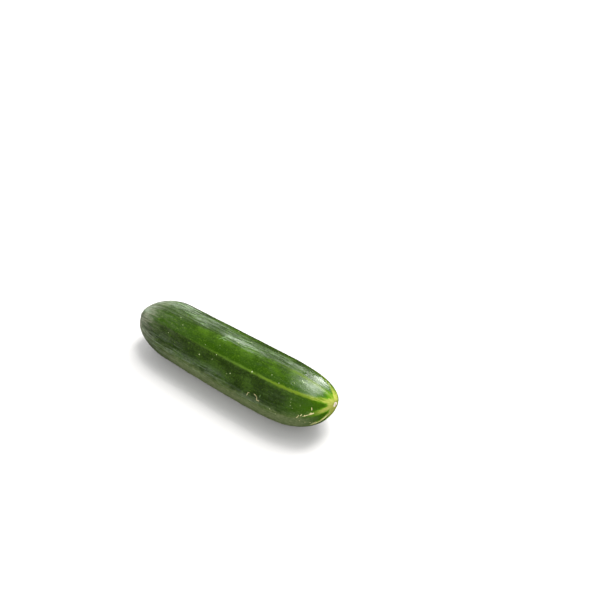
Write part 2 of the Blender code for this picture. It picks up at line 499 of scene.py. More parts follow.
skin_mesh = rolled_mesh("cucumber_skin", points)
skin = bpy.data.objects.new("cucumber_skin", skin_mesh)
bpy.context.scene.collection.objects.link(skin)
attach(skin, "root")
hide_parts("cucumber")
triangles = sum(len(face.vertices) - 2 for face in skin_mesh.polygons)
print("The skin has", triangles, "triangles")

# %% How far the fine skin strays from the solid
def surface_tree(mesh):
    """A tree that finds the nearest place on a mesh."""
    return BVHTree.FromPolygons(
        [vertex.co for vertex in mesh.vertices],
        [face.vertices for face in mesh.polygons],
    )


solid_tree = surface_tree(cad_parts["cucumber"].data)
strays = [solid_tree.find_nearest(vertex.co)[3] for vertex in skin_mesh.vertices]
print("It strays from the solid by", round(max(strays) / MM, 2), "mm at most")

# %% Unwrap
UV_MARGIN = 0.01

lengths = np.linalg.norm(np.diff(points, axis=0), axis=2).mean(axis=1)
from_stem = np.concatenate([[0], np.cumsum(lengths)])
row_u = UV_MARGIN + (1 - 2 * UV_MARGIN) * from_stem / from_stem[-1]
column_v = UV_MARGIN + (1 - 2 * UV_MARGIN) * np.arange(columns + 1) / columns


def corner_grid(rings, columns):
    """Ring and column of every corner of the faces, in the order that rolled_mesh makes them."""
    fan = np.arange(columns)
    rows, cols = np.meshgrid(np.arange(1, rings - 2), fan, indexing="ij")
    first = np.zeros(columns)
    last = np.full(columns, rings - 1)
    ring = (
        np.stack([first, first + 1, first + 1], axis=1),
        np.stack([rows, rows, rows + 1, rows + 1], axis=-1),
        np.stack([last - 1, last - 1, last], axis=1),
    )
    column = (
        np.stack([fan + 0.5, fan + 1, fan], axis=1),
        np.stack([cols, cols + 1, cols + 1, cols], axis=-1),
        np.stack([fan, fan + 1, fan + 0.5], axis=1),
    )
    return [np.concatenate([part.ravel() for part in side]) for side in (ring, column)]


corner_ring, corner_column = corner_grid(*points.shape[:2])
uv = np.stack([row_u[corner_ring.astype(int)], np.interp(corner_column, range(columns + 1), column_v)],
              axis=1)
skin_mesh.uv_layers.new(name=UV_MAP).data.foreach_set("uv", uv.ravel())
print("The unwrap is", round(from_stem[-1] / MM), "mm long")

# %% [markdown]
# ## What the material needs to know
# The colour of a cucumber follows its growth. Pale streaks run along the ridges from the blossom end and
# fade towards the stem, the faces between the ridges differ in their green, and the side that lay on
# the ground stays pale. Some of it is painted light too: the deeper green of some faces and their
# darkening towards a ridge are partly painted shade, and the pale underside also paints light bounced
# up from below. A material can't know where a ridge is, so each point carries a few numbers for it.
# Distances rather than finished colours are stored, because the material can then draw an edge that is
# sharper than the mesh, and fray it with noise. A streak's strength is how much of the green it covers:
# near 1 it is nearly pure, and at one half it is only a shine along the crest.

# %% Streaks
# For each ridge: how far its streak runs from the scar, half its width near the scar and far from it,
# all in mm, its strength, and by how many degrees it leaves the crest at the scar, over how many mm
STREAKS = (
    (38, 1.05, 0.60, 0.95, 38, 17),
    (54, 0.95, 0.70, 0.50, -4, 8),
    (112, 1.10, 0.44, 0.90, -38, 8),
    (18, 1.10, 0.80, 0.96, -42, 8),
    (22, 0.55, 0.50, 0.90, -5, 8),
    (20, 1.00, 0.80, 0.80, 0, 8),
    (34, 1.10, 0.60, 0.75, 0, 8),
    (24, 1.00, 0.65, 0.70, 0, 8),
    (40, 1.10, 0.70, 0.95, 40, 45),
)
STREAK_SLIM = 26.0          # mm from the scar over which a streak slims down
STREAK_FLARE = 1.2          # mm that its half width gains at the scar
STREAK_FLARE_LENGTH = 4.5   # mm
STREAK_FADE = 1.7           # above 1, a streak keeps its strength for the first part of its run
STREAK_START = 16.0         # mm from the scar within which even a weak streak is strong
CAP = 4.4                   # mm from the scar to the edge of the pale cap
CAP_LONGER = 4.8            # mm more on its upper side
CAP_UP = math.radians(-5)   # angle of that side
CAP_SLOPE = 0.55            # mm that a point lies deeper in the cap for each mm from its edge
print(len(STREAKS), "streaks, the longest of", max(streak[0] for streak in STREAKS), "mm")


# %% How deep each point lies in a streak
def per_ridge(column):
    """One value of the streaks for every point of the grid: that of the nearest ridge."""
    return np.array([streak[column] for streak in STREAKS])[nearest]


from_scar = np.repeat(((from_stem[-1] - from_stem) / MM)[:, None], columns, axis=1)
bend_angle, bend_length = (np.array(side) for side in list(zip(*STREAKS))[4:])
bend = np.radians(bend_angle) * np.exp(-from_scar[..., None] / bend_length)
sideways = turned(angle[..., None] - ridge_angles(station) - bend) * radius[..., None] / MM
away = np.abs(sideways)
nearest = away.argmin(axis=-1)
away = away.min(axis=-1)
half_width = per_ridge(2) + (per_ridge(1) - per_ridge(2)) * np.exp(-(from_scar / STREAK_SLIM) ** 2)
half_width += STREAK_FLARE * np.exp(-from_scar / STREAK_FLARE_LENGTH)
inside = half_width - away
cap_edge = CAP + CAP_LONGER * np.cos(angle - CAP_UP).clip(0) ** 2
inside = np.maximum(inside, CAP_SLOPE * (cap_edge - from_scar))
strength = per_ridge(3) * ease(STREAK_FADE * (1 - from_scar / per_ridge(0)))
strength = np.maximum(strength, ease(1 - from_scar / STREAK_START))
print("The deepest point lies", round(inside.max(), 1), "mm inside one")

# %% Faces between the ridges, and the pale underside
# For the face that follows each ridge: 0 for a fresh yellowish green, 1 for a deep dull one. The deep
# share is partly the fruit's own green and partly painted shade, as on the face behind the top.
FACES = (0.45, 0.0, 0.9, 0.8, 0.4, 0.8, 0.3, 0.7, 0.35)
# And how much painted shade darkens it towards the next ridge
DARK_SIDES = (0.0, 0.9, 0.0, 0.1, 0.0, 0.5, 0.0, 0.6, 0.0)
DARK_SIDE = 10.0            # mm before that ridge over which it does so
DARK_SIDE_RISE = 1.3        # above 1, it is fully dark a little before the ridge
FACE_EDGE = 0.5             # mm over which one green turns to the next at a ridge
UNDERSIDE = (96, 172)       # degrees between which the fruit lay on the ground

crossed = turned(angle[..., None] - ridge_angles(station)) * radius[..., None] / MM
into_face = ease(crossed / FACE_EDGE + 0.5)
owner = np.where(crossed >= -FACE_EDGE, crossed, np.inf).argmin(axis=-1)
here = np.take_along_axis(into_face, owner[..., None], axis=-1)[..., 0]
deep = np.array(FACES)[owner] * here + np.array(FACES)[owner - 1] * (1 - here)
ahead = np.where(crossed < 0, -crossed, np.inf)
nearing = ease(DARK_SIDE_RISE * (1 - ahead.min(axis=-1) / DARK_SIDE))
dark_side = np.array(DARK_SIDES)[ahead.argmin(axis=-1) - 1] * nearing
degrees = np.degrees(angle)
lain_on = np.minimum(degrees - UNDERSIDE[0], UNDERSIDE[1] - degrees) * radius / MM * math.pi / 180
print("The fruit lay on a strip up to", round(2 * lain_on.max()), "mm wide")

# %% [markdown]
# The wax of a fruit that was picked, packed and carried is rubbed here and there, in fine pale lines
# along its length, and round the stem, where no hand wipes it, its bloom stays dull. Noise alone would
# rub the skin everywhere alike. So soft patches say where it is rubbed, and the material draws the
# lines in them. The patches along the upper side and at the stem end also carry painted sheen: there
# they pale the green where the wax would mirror light.

# %% Rubbed places, and places of painted sheen
# Distance from the stem end in mm, angle in degrees, half length and half width in mm, and strength
# of the rubbing and of its painted sheen
RUBBED_AND_SHEEN = (
    (22, -33, 15, 4.0, 1.80),
    (20, -16, 8, 3.0, 0.40),
    (50, -24, 11, 3.4, 0.60),
    (36, -12, 9, 2.4, 0.80),
    (44, 0, 6, 1.4, 0.60),
    (6, -10, 6, 9.0, 0.80),
    (5, 58, 7, 11.0, 1.00),
    (24, 80, 15, 5.0, 0.65),
    (46, 84, 16, 3.4, 0.36),
    (61, -2, 5, 3.2, 0.80),
    (68, -12, 9, 3.0, 1.10),
    (76, -3, 10, 2.8, 0.80),
    (97, -17, 13, 4.2, 0.75),
    (62, 76, 12, 3.0, 0.35),
    (88, 84, 12, 2.6, 0.35),
    (118, -12, 8, 5.0, 0.50),
    (24, 8, 10, 3.5, 0.25),
    (106, 70, 14, 6.0, 0.08),
)
HIDDEN_RUBBED = 9           # more of them, drawn between these limits, on the far side
HIDDEN_LIMITS = ((12, 112), (130, 300), (7, 18), (2.5, 4.5), (0.3, 0.8))
RUBBED_SEED = 3
draw = random.Random(RUBBED_SEED)
patches = list(RUBBED_AND_SHEEN)
for _ in range(HIDDEN_RUBBED):
    patches.append([draw.uniform(*limits) for limits in HIDDEN_LIMITS])
# One mask for the rubbed wax and for the painted sheen, which the material pales the green by
rubbed_and_sheen = np.zeros_like(angle)
for patch_station, patch_degrees, half_length, half_breadth, patch_strength in patches:
    lengthwise = (station / MM - patch_station) / half_length
    crosswise = turned(angle - math.radians(patch_degrees)) * radius / MM / half_breadth
    rubbed_and_sheen += patch_strength * np.exp(-lengthwise ** 2 - crosswise ** 2)
print(len(patches), "rubbed places")

# %% Dull places, and all of it stored on the mesh
STEM_DULL = 0.3             # share of dullness that unwiped bloom gives round the stem,
STEM_DULL_END = (22, 9)     # as far as this, with an end this soft, in mm
GROUND_DULL = 0.6           # and on the side that lay on the ground,
GROUND_DULL_END = (8, 10)   # from this far from the scar, with a start this soft, in mm
dull = STEM_DULL * ease((STEM_DULL_END[0] - station / MM) / STEM_DULL_END[1])
ground_start = ease((from_scar - GROUND_DULL_END[0]) / GROUND_DULL_END[1])
dull = np.maximum(dull, GROUND_DULL * ease(lain_on / 2 + 1) * ground_start)


def on_vertices(name, grid):
    """Store one number of the grid for each vertex."""
    values = np.concatenate([grid[:1, 0], grid[1:-1].ravel(), grid[-1:, 0]])
    skin_mesh.attributes.new(name, "FLOAT", "POINT").data.foreach_set("value", values.astype("f"))


GROWTH = {
    "from_scar_mm": from_scar,
    "from_stem_mm": station / MM,
    "in_streak_mm": inside,
    "streak_strength": strength,
    "deep_green_and_shade": deep,
    "dark_side": dark_side,
    "lain_on_mm": lain_on,
    "rubbed_and_sheen": rubbed_and_sheen,
    "dull": dull,
    "round_cos": np.cos(angle),
    "round_sin": np.sin(angle),
}
for name, grid in GROWTH.items():
    on_vertices(name, grid)
print(len(GROWTH), "numbers stored on each of", len(skin_mesh.vertices), "points")

# %% [markdown]
# ## Helpers for materials
# Colours are written as people pick them, as sRGB hex values, and turned to the linear values that
# Blender mixes light in. A material is a tree of nodes. It could be wired by hand in the editor. Here one
# function adds a node with its settings and its links, so each material reads as a list of what feeds
# what, and a few named settings say what the commonest nodes are for.

# %% Colours and nodes
def linear(hex_colour):
    """An sRGB colour such as #4d7a2d as linear RGBA."""
    channels = [int(hex_colour[i:i + 2], 16) / 255 for i in (1, 3, 5)]
    return (*[c / 12.92 if c <= 0.04045 else ((c + 0.055) / 1.055) ** 2.4 for c in channels], 1.0)


def feed(node, inputs):
    """Feed a node's inputs, by number or name, with values, hex colours or other nodes' outputs."""
    for name, value in inputs.items():
        if isinstance(value, bpy.types.NodeSocket):
            tree.links.new(value, node.inputs[name])
        else:
            node.inputs[name].default_value = linear(value) if isinstance(value, str) else value


def add(kind, *inputs, output=0, **settings):
    """Add a node to the tree, fed in order or by one dict, and return one of its outputs."""
    made = tree.nodes.new("ShaderNode" + kind)
    for name, value in settings.items():
        setattr(made, name, value)
    by_name = inputs[0] if inputs and isinstance(inputs[0], dict) else dict(enumerate(inputs))
    feed(made, by_name)
    return made.outputs[output]


def start_material(name):
    """An empty material and its shader. What is added next goes into its tree."""
    global tree
    material = bpy.data.materials.new(name)
    material.use_nodes = True
    tree = material.node_tree
    return material, tree.nodes["Principled BSDF"]


PLUS = {"operation": "ADD"}
LESS = {"operation": "SUBTRACT"}
TIMES = {"operation": "MULTIPLY"}
TIMES_PLUS = {"operation": "MULTIPLY_ADD"}      # the first times the second, plus the third
SMOOTH = {"interpolation_type": "SMOOTHSTEP"}   # low and high become 0 and 1 or the last two, softly
COLOURS = {"data_type": "RGBA", "output": 2}    # input 0 is the share, 6 and 7 are the two colours
print("Half of sRGB's range is", round(linear("#808080")[0], 2), "of the light")

# %% [markdown]
# ## Waxed rind
# The skin of a cucumber is living green tissue under a thin film of plant wax. The green is mottled:
# cells with more and less chlorophyll make fine specks drawn out along the fruit. The wax gives a
# satin shine with soft edges, between that of a polished apple and a matt plum. Wax has an IOR near
# 1.45. On a smooth body its roughness would be near 0.35. Here fine bumps under the wax soften the
# highlights too, so 0.22 is enough to make them as wide as the real ones.
#
# Every pattern is noise that a range turns into a share of a colour. Blender's noise stays mostly
# between 0.35 and 0.65, so the ranges lie near those values: a narrow one gives crisp marks, and a wide
# one gives clouds.

# %% Patterns of the rind
rind, rind_shader = start_material("waxed_rind")
growth = {name: add("Attribute", output="Fac", attribute_name=name) for name in GROWTH}


def along_fruit(drawn_out):
    """Coordinates squeezed along X, so that a pattern on them is drawn out along the fruit."""
    return add("Mapping", {"Vector": add("TexCoord", output="Object"), "Scale": (1 / drawn_out, 1, 1)})


def grain(size_mm, drawn_out=1.0, detail=3.0, roughness=0.6):
    """Soft lumps of a real size."""
    return add("TexNoise", {
        "Vector": along_fruit(drawn_out),
        "Scale": 1 / (size_mm * MM),
        "Detail": detail,
        "Roughness": roughness,
    }, output="Fac")


def fibres(width_degrees, length_mm, detail=3.0, roughness=0.6):
    """Threads from stem to scar that meet at the two ends, as the flesh's own do.

    Their width is an angle, as they narrow with the fruit: one degree is 0.3 mm where it is thickest.
    """
    width = math.radians(width_degrees)
    lengthwise = add("Math", growth["from_scar_mm"], length_mm, operation="DIVIDE")
    crosswise = [add("Math", growth[name], width, operation="DIVIDE") for name in ("round_cos", "round_sin")]
    return add("TexNoise", {
        "Vector": add("CombineXYZ", *crosswise, lengthwise),
        "Scale": 1.0,
        "Detail": detail,
        "Roughness": roughness,
    }, output="Fac")


print("The rind reads", len(growth), "numbers of the mesh")

# %% Greens
FRESH_LIGHT = "#355009"
FRESH_DARK = "#1e3304"
# Colour of the painted shade that darkens a fresh face towards the next ridge
FRESH_SHADED = "#1d3502"
DEEP_LIGHT = "#293c10"
DEEP_DARK = "#182508"
TIP_GREEN = "#2d4d00"
MOTTLE_MM = 1.1             # the cells are finer; this is as coarse as it needs to show
BLOTCH_MM = 6.0

mottle = grain(MOTTLE_MM, 1.5, 5.0, 0.75)
blotch = grain(BLOTCH_MM, 1.6, 2.0, 0.5)
shade = add("Math", blotch, 0.90, add("Math", mottle, 0.85, **TIMES), **TIMES_PLUS)
shade = add("Math", fibres(5, 9), 0.25, shade, **TIMES_PLUS)
shade = add("MapRange", shade, 0.86, 1.26, **SMOOTH)
fresh = add("Mix", {0: shade, 6: FRESH_DARK, 7: FRESH_LIGHT}, **COLOURS)
# Painted shade: the fresh faces darken towards the next ridge
fresh = add("Mix", {0: growth["dark_side"], 6: fresh, 7: FRESH_SHADED}, **COLOURS)
deep = add("Mix", {0: shade, 6: DEEP_DARK, 7: DEEP_LIGHT}, **COLOURS)
green = add("Mix", {0: growth["deep_green_and_shade"], 6: fresh, 7: deep}, **COLOURS)
near_scar = add("MapRange", growth["from_scar_mm"], 8, 36, 0.95, 0.0, **SMOOTH)
green = add("Mix", {0: near_scar, 6: green, 7: TIP_GREEN}, **COLOURS)
print("Greens take", len(tree.nodes), "nodes")

# %% Pale flecks
FLECK_GREEN = "#547018"
FLECK_MM = 1.7              # between flecks
FLECK_DRAWN_OUT = 1.3
SPECK_MM = 0.6

from_fleck = add("TexVoronoi", {
    "Vector": along_fruit(FLECK_DRAWN_OUT),
    "Scale": 1 / (FLECK_MM * MM),
}, output="Distance")
fleck_size = add("Math", from_fleck.node.outputs["Color"], 0.30, -0.05, **TIMES_PLUS)
fleck = add("MapRange", add("Math", fleck_size, from_fleck, **LESS), -0.05, 0.05, 0.0, 0.33, **SMOOTH)
speck = add("MapRange", grain(SPECK_MM, 1.2, 2.0), 0.52, 0.72, 0.0, 0.28, **SMOOTH)
by_face = add("MapRange", growth["deep_green_and_shade"], 0.2, 0.8, 1.20, 0.85, **SMOOTH)
fleck = add("Math", add("Math", fleck, speck, operation="MAXIMUM"), by_face, **TIMES)
green = add("Mix", {0: fleck, 6: green, 7: FLECK_GREEN}, **COLOURS)
print("With the flecks there are", len(tree.nodes))

# %% Underside that lay on the ground, and painted light bounced up from below
GROUND_AND_BOUNCE_OLIVE = "#656b48"
GROUND_AND_BOUNCE_GREEN = "#43532a"
GROUND_PATCH_MM = 3.0       # of the patches that its edge breaks up into, up to 5 mm either way

patch = grain(GROUND_PATCH_MM, 2.0, 5.0, 0.8)
# The ground spot reaches some mm past the strip it lay on, and its olive also paints light bounced up from
# the floor
ground_and_bounce = add("Math", growth["lain_on_mm"], add("Math", patch, 10.0, -5.0, **TIMES_PLUS), **PLUS)
ground_and_bounce = add("MapRange", ground_and_bounce, -6.5, 0.5, 0.0, 0.85, **SMOOTH)
off_scar = add("MapRange", growth["from_scar_mm"], 8, 22, **SMOOTH)
off_stem = add("MapRange", growth["from_stem_mm"], 14, 45, 0.2, 1.0, **SMOOTH)
ground_and_bounce = add("Math", add("Math", ground_and_bounce, off_scar, **TIMES), off_stem, **TIMES)
spotted = add("MapRange", mottle, 0.35, 0.65, **SMOOTH)
ground_and_bounce_colour = add("Mix", {0: spotted, 6: GROUND_AND_BOUNCE_GREEN, 7: GROUND_AND_BOUNCE_OLIVE}, **COLOURS)
green = add("Mix", {0: ground_and_bounce, 6: green, 7: ground_and_bounce_colour}, **COLOURS)
print("With the underside there are", len(tree.nodes))

# %% [markdown]
# Bloom is the natural powder of wax that makes a plum look dusty. Here it greys the stem end, in streaks
# that run out towards the middle, and its grey also paints the pale sheen that the wax mirrors there.
# Where the wax was rubbed it scatters light, as a scuffed candle does, and the pale rubbed lines also
# paint the sheen along the upper side. Fine lines alone would vanish at the size of the picture, so
# broad bands carry them, and a coarse net of grain breaks both up.

# %% Bloom at the stem, rubbed wax, and the painted sheen in both
# The grey of the bloom also paints sheen at the stem end, and the colour of the rubbed lines also paints
# sheen along the upper side
BLOOM_AND_SHEEN_GREY = "#817f6f"
RUBBED_WAX_AND_SHEEN = "#87927f"
RUB_AND_SHEEN_SHARE = 0.62            # of the green that rubbed lines and painted sheen cover at a strength of 1,
RUB_AND_SHEEN_MOST = 0.8              # and the most that they cover anywhere
NET_MM = 1.0

patch = add("Math", mottle, 0.5, blotch, **TIMES_PLUS)
patch = add("MapRange", patch, 0.55, 0.95, 0.45, 1.0, **SMOOTH)
strokes = add("MapRange", fibres(4.5, 8, 5.0, 0.75), 0.42, 0.60, 0.20, 1.10, **SMOOTH)
close_bloom_and_sheen = add("MapRange", growth["from_stem_mm"], 2, 22, 0.95, 0.0, **SMOOTH)
far_bloom_and_sheen = add("MapRange", growth["from_stem_mm"], 10, 60, 0.11, 0.0, **SMOOTH)
# Bloom, and painted sheen, paling the green most near the stem end
bloom_and_sheen = add("Math", add("Math", close_bloom_and_sheen, far_bloom_and_sheen, **PLUS), patch, **TIMES)
bloom_and_sheen = add("Math", bloom_and_sheen, strokes, **TIMES)
green = add("Mix", {0: bloom_and_sheen, 6: green, 7: BLOOM_AND_SHEEN_GREY}, **COLOURS)

broad = add("Math", fibres(7, 20, 2.0, 0.5), 0.4, **TIMES)
bands = add("Math", fibres(2.4, 11, 4.0, 0.7), 0.6, broad, **TIMES_PLUS)
lines = add("MapRange", bands, 0.43, 0.60, **SMOOTH)
net = add("MapRange", grain(NET_MM, 2.0, 3.0, 0.7), 0.36, 0.60, 0.40, 1.0, **SMOOTH)
# Rubbed wax, and painted sheen where the patches lie along the upper side
rub_and_sheen = add("Math", add("Math", lines, net, **TIMES), growth["rubbed_and_sheen"], **TIMES)
rub_and_sheen = add("Math", add("Math", rub_and_sheen, RUB_AND_SHEEN_SHARE, **TIMES), RUB_AND_SHEEN_MOST, operation="MINIMUM")
green = add("Mix", {0: rub_and_sheen, 6: green, 7: RUBBED_WAX_AND_SHEEN}, **COLOURS)
print("With the bloom and the rubbed wax there are", len(tree.nodes))

# %% [markdown]
# The streaks are the fruit's own pattern: bundles of pale threads in the flesh that show through the
# skin. A painted stripe has hard, even edges. Here noise frays the stored distance before it becomes an
# edge, and threads of pale yellow run through a green that turns from yellowish near the scar to dull
# far from it.

# %% Frayed edges of the streaks
STREAK_GLOW = "#528402"     # the green that a streak turns to at its edges, close to the scar
FRAY_MM = 1.2               # length of the frays, which reach up to 0.9 mm either way

fray = add("Math", grain(FRAY_MM, 3.0, 4.0, 0.7), 1.8, -0.9, **TIMES_PLUS)
in_streak = add("Math", growth["in_streak_mm"], fray, **PLUS)
close_by = add("MapRange", growth["from_scar_mm"], 6, 18, 0.9, 0.0, **SMOOTH)
glow = add("Math", add("MapRange", in_streak, -1.5, 0.2, **SMOOTH), close_by, **TIMES)
green = add("Mix", {0: glow, 6: green, 7: STREAK_GLOW}, **COLOURS)
streak = add("MapRange", in_streak, -0.65, 0.45, **SMOOTH)
streak = add("Math", streak, growth["streak_strength"], **TIMES)
print("With the edges of the streaks there are", len(tree.nodes))

# %% Threads and colour of the streaks
STREAK_FAR = "#455e19"
STREAK_GREEN = "#596b14"
STREAK_PALE = "#9d9c4a"

thread = fibres(2.0, 9, 4.0, 0.7)
paleness = add("Math", growth["streak_strength"], 0.3, -0.3, **TIMES_PLUS)
at_scar = add("MapRange", growth["from_scar_mm"], 3, 16, 0.20, 0.0, **SMOOTH)
paleness = add("Math", paleness, at_scar, **PLUS)
far_off = add("MapRange", growth["from_scar_mm"], 2, 30, **SMOOTH)
paleness = add("Math", far_off, -0.18, paleness, **TIMES_PLUS)
paleness = add("MapRange", add("Math", thread, paleness, **PLUS), 0.42, 0.54, **SMOOTH)
bundles = add("MapRange", fibres(5, 7, 3.0, 0.7), 0.42, 0.56, 0.60, 1.0, **SMOOTH)
paleness = add("Math", paleness, bundles, **TIMES)
duller = add("MapRange", growth["from_scar_mm"], 20, 62, **SMOOTH)
streak_colour = add("Mix", {0: duller, 6: STREAK_GREEN, 7: STREAK_FAR}, **COLOURS)
streak_colour = add("Mix", {0: paleness, 6: streak_colour, 7: STREAK_PALE}, **COLOURS)
cover = add("MapRange", thread, 0.34, 0.48, 0.65, 0.95, **SMOOTH)
streak = add("Math", streak, cover, **TIMES)
green = add("Mix", {0: streak, 6: green, 7: streak_colour}, **COLOURS)
print("With the threads there are", len(tree.nodes))

# %% Wax, and what the light sees of the fine grain
WAX_IOR = 1.45
WAX_LEVEL = 0.3             # below the usual 0.5, as the skin shines less than solid wax does
WAX_ROUGHNESS = 0.22
WAX_SPREAD = (-0.05, 0.08)  # how far the roughness wanders, in patches of a few mm
WAX_PATCH_MM = 3.0
DULL_ROUGHNESS = 0.95       # where the bloom on the wax was never wiped
GRAIN_MM = 0.8              # the pores are nearer 0.1 mm; drawn this coarse so that they show
GRAIN_HEIGHT = 0.00007

glossiest, dullest = (WAX_ROUGHNESS + step for step in WAX_SPREAD)
rough = add("MapRange", grain(WAX_PATCH_MM, 3.0), 0.3, 0.7, glossiest, dullest, **SMOOTH)
fine = add("Math", fibres(3, 8, 2.0), 0.7, grain(GRAIN_MM, 1.3, 3.0, 0.7), **TIMES_PLUS)
feed(rind_shader, {
    "Base Color": green,
    "IOR": WAX_IOR,
    "Specular IOR Level": WAX_LEVEL,
    "Roughness": add("Mix", {0: growth["dull"], 2: rough, 3: DULL_ROUGHNESS}),
    "Normal": add("Bump", {"Height": fine, "Distance": GRAIN_HEIGHT, "Strength": 1.0}),
})
skin_mesh.materials.append(rind)
print("The whole rind takes", len(tree.nodes))

# %% [markdown]
# ## Cut stem and dry scar
# The cut stem is fibrous green tissue: lighter than the rind, matt, and drying to straw at the edge of
# the cut. The scar is dead tissue, pinkish and chalky. Both could be pieces of their own, but the skin
# runs into them without a seam, so they are faces of the same mesh with materials of their own. The cut
# face is coloured by how far each point lies from its middle.

# %% Cut stem
STEM_SIDE = ("#7f9a55", "#96ad6a")
STEM_CUT = ("#c3c896", "#d8d9b0")
STEM_DRY = "#9a8656"
STEM_VESSEL = "#8c9a5c"
STEM_ROUGHNESS = 0.72
STEM_FIBRE_MM = 0.5
PITH_MM = 0.35
DRY_RING = 0.92             # share of the stub's radius at which the cut dries first
FINE_HEIGHT = 0.00006       # of the fibres, and of the scar's crumbs

stem, stem_shader = start_material("cut_stem")
on_vertices("stub_out", np.repeat((out_share * (on_stub > 0))[:, None], columns, axis=1))
stub_out = add("Attribute", output="Fac", attribute_name="stub_out")


def ring_at(share, narrow, wide, strength):
    """A soft ring on the cut face: full up to narrow from its share of the radius, gone at wide."""
    away = add("Math", add("Math", stub_out, share, **LESS), operation="ABSOLUTE")
    return add("MapRange", away, narrow, wide, strength, 0.0, **SMOOTH)


fibre = grain(STEM_FIBRE_MM, 5.0, 3.0)
pith = grain(PITH_MM, 1.0, 2.0)
side_share = add("MapRange", fibre, 0.3, 0.7, **SMOOTH)
side = add("Mix", {0: side_share, 6: STEM_SIDE[0], 7: STEM_SIDE[1]}, **COLOURS)
cut_share = add("MapRange", pith, 0.35, 0.65, **SMOOTH)
cut_face = add("Mix", {0: cut_share, 6: STEM_CUT[0], 7: STEM_CUT[1]}, **COLOURS)
cut_face = add("Mix", {0: ring_at(VESSEL_RING, 0.05, 0.2, 0.7), 6: cut_face, 7: STEM_VESSEL}, **COLOURS)
over_edge = add("MapRange", stub_out, 0.90, 0.99, **SMOOTH)
colour = add("Mix", {0: over_edge, 6: cut_face, 7: side}, **COLOURS)
feed(stem_shader, {
    "Base Color": add("Mix", {0: ring_at(DRY_RING, 0.02, 0.10, 0.75), 6: colour, 7: STEM_DRY}, **COLOURS),
    "Roughness": STEM_ROUGHNESS,
    "Normal": add("Bump", {"Height": fibre, "Distance": FINE_HEIGHT, "Strength": 1.0}),
})
skin_mesh.materials.append(stem)
print("The cut stem takes", len(tree.nodes), "nodes")

# %% Blossom scar
SCAR_CORK = ("#dbcfc4", "#b3a196")
SCAR_ROUGHNESS = 0.85
SCAR_SPOT_MM = 0.45
SCAR_CRUMB_MM = 0.3

scar, scar_shader = start_material("dry_blossom_scar")
spots = add("MapRange", grain(SCAR_SPOT_MM, 1.0, 3.0), 0.35, 0.65, **SMOOTH)
crumbs = grain(SCAR_CRUMB_MM, 1.0, 2.0)
feed(scar_shader, {
    "Base Color": add("Mix", {0: spots, 6: SCAR_CORK[0], 7: SCAR_CORK[1]}, **COLOURS),
    "Roughness": SCAR_ROUGHNESS,
    "Normal": add("Bump", {"Height": crumbs, "Distance": FINE_HEIGHT, "Strength": 1.0}),
})
skin_mesh.materials.append(scar)
print("The scar takes", len(tree.nodes), "nodes")

# %% Hand the faces their materials
STEM_SLOT, SCAR_SLOT = 1, 2     # the rind is slot 0

face_ring = corner_ring.astype(int)[np.cumsum([0] + [len(f.vertices) for f in skin_mesh.polygons])[:-1]]
slots = np.zeros(len(face_ring), dtype=int)
slots[face_ring < ends[0] - 1] = STEM_SLOT
slots[face_ring >= ends[3] + SCAR_STEPS] = SCAR_SLOT
skin_mesh.polygons.foreach_set("material_index", slots)
print((slots == STEM_SLOT).sum(), "faces of cut stem and", (slots == SCAR_SLOT).sum(), "of scar")

# %% [markdown]
# ## Marks on the skin
# Where a spine broke off the young fruit, it left a pale corky dot, and where the skin was scratched it
# healed in thin corky welts. Painted marks would be as blurred as the grid that carries them. Each is a
# small body of its own instead, half sunk in the skin, so it is sharp from any distance and catches
# the light as a welt does. Cork fades with age: the latest scratches, near the scar, are tan, earlier
# ones are faded or whitish, and the oldest are shallow silvery lines. Two pale lines along the upper
# side of the stem end are drawn the same way, but they are painted glints, not scratches. The marks
# that the photograph shows are placed one by one, and seeded draws carry on with the dots round the
# sides that it doesn't show.

# %% A point of the skin by station and angle
skin_tree = surface_tree(skin_mesh)
seat_drop = Vector((0, 0, float(-low[2] - REST_FLAT + cad_low.z)))


def skin_spot(station_mm, degrees):
    """Place and normal of the skin at a distance from the stem end and an angle from the top."""
    along = np.array([station_mm * MM])
    turn = np.array([math.radians(degrees)])
    reach = radius_at(along) * (1 + ridge_swell(turn, along))
    centre = Vector(middle_at(along)[0]) + seat_drop
    guess = centre + float(reach[0]) * Vector((0, -math.sin(turn[0]), math.cos(turn[0])))
    spot, normal, _, _ = skin_tree.find_nearest(guess)
    return spot, normal


print("Top of the skin halfway along:", round(skin_spot(65, 0)[0].z / MM, 1), "mm")

# %% Pale dots
# Distance from the stem end in mm, angle from the top towards -Y in degrees, diameter in mm
DOTS = (
    (51.4, 54.8, 0.9),
    (61.4, 40.0, 0.7),
    (60.0, 50.3, 0.6),
    (73.3, 57.8, 0.9),
    (71.3, 61.0, 0.45),
    (85.2, 36.5, 1.0),
    (28.1, 48.2, 0.6),
    (33.5, 22.3, 0.55),
    (29.5, 11.3, 0.4),
    (8.9, 30.7, 0.5),
    (52.5, 34.0, 0.4),
    (60.0, 22.3, 0.4),
    (67.5, 0.5, 0.8),
    (71.9, -18.8, 0.7),
    (95.9, 25.5, 0.6),
    (102.0, 32.8, 0.6),
    (108.8, 19.7, 0.6),
    (105.3, 90.8, 0.8),
    (101.8, 84.2, 0.8),
    (112.4, 62.2, 0.5),
    (117.2, 57.2, 0.4),
    (111.7, 49.8, 0.4),
    (112.1, 56.5, 0.5),
    (113.8, 67.0, 0.4),
)
HIDDEN_DOTS = 46            # more of them, drawn between these limits, on the far side
HIDDEN_DOT_LIMITS = ((8, 122), (115, 325), (0.5, 0.95))
DOT_SEED = 5
draw = random.Random(DOT_SEED)
dots = list(DOTS)
for _ in range(HIDDEN_DOTS):
    dots.append([draw.uniform(*limits) for limits in HIDDEN_DOT_LIMITS])
print(len(dots), "dots to place")

